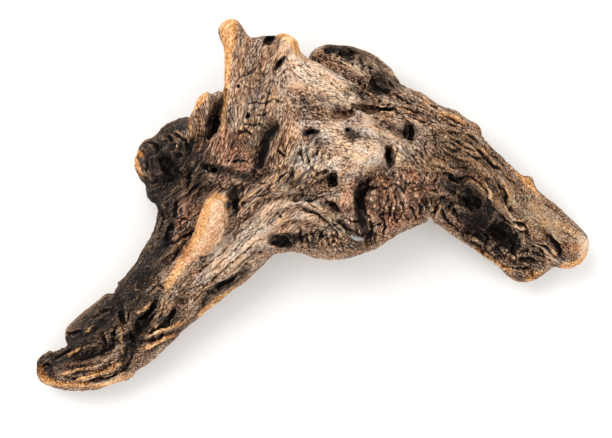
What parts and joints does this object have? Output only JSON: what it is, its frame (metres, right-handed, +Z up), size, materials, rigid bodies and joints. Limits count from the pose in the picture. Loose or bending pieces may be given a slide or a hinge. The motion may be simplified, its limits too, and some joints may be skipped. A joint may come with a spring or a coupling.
{
  "type": "driftwood",
  "caption": "Weathered driftwood: a gnarled root crown with a raised shoulder slab, pale mound and cracked burl, and two spread arms, lying flat on worn feet.",
  "frame": {"origin": "middle of the bounding box's base, on the surface that the wood lies on", "axes": "+X along the spread of the arms, from the long left arm to the right arm; +Y from the bay between the arms to the shoulder slab and its horn; +Z up, from the worn feet to the pale mound"},
  "size_m": [0.4494, 0.2974, 0.1],
  "materials": {
    "weathered_root_wood": "dry weathered grain, matt, with charred hollows and amber worn ends"
  },
  "bodies": {
    "root": {"driftwood": "weathered_root_wood"}
  },
  "joints": []
}
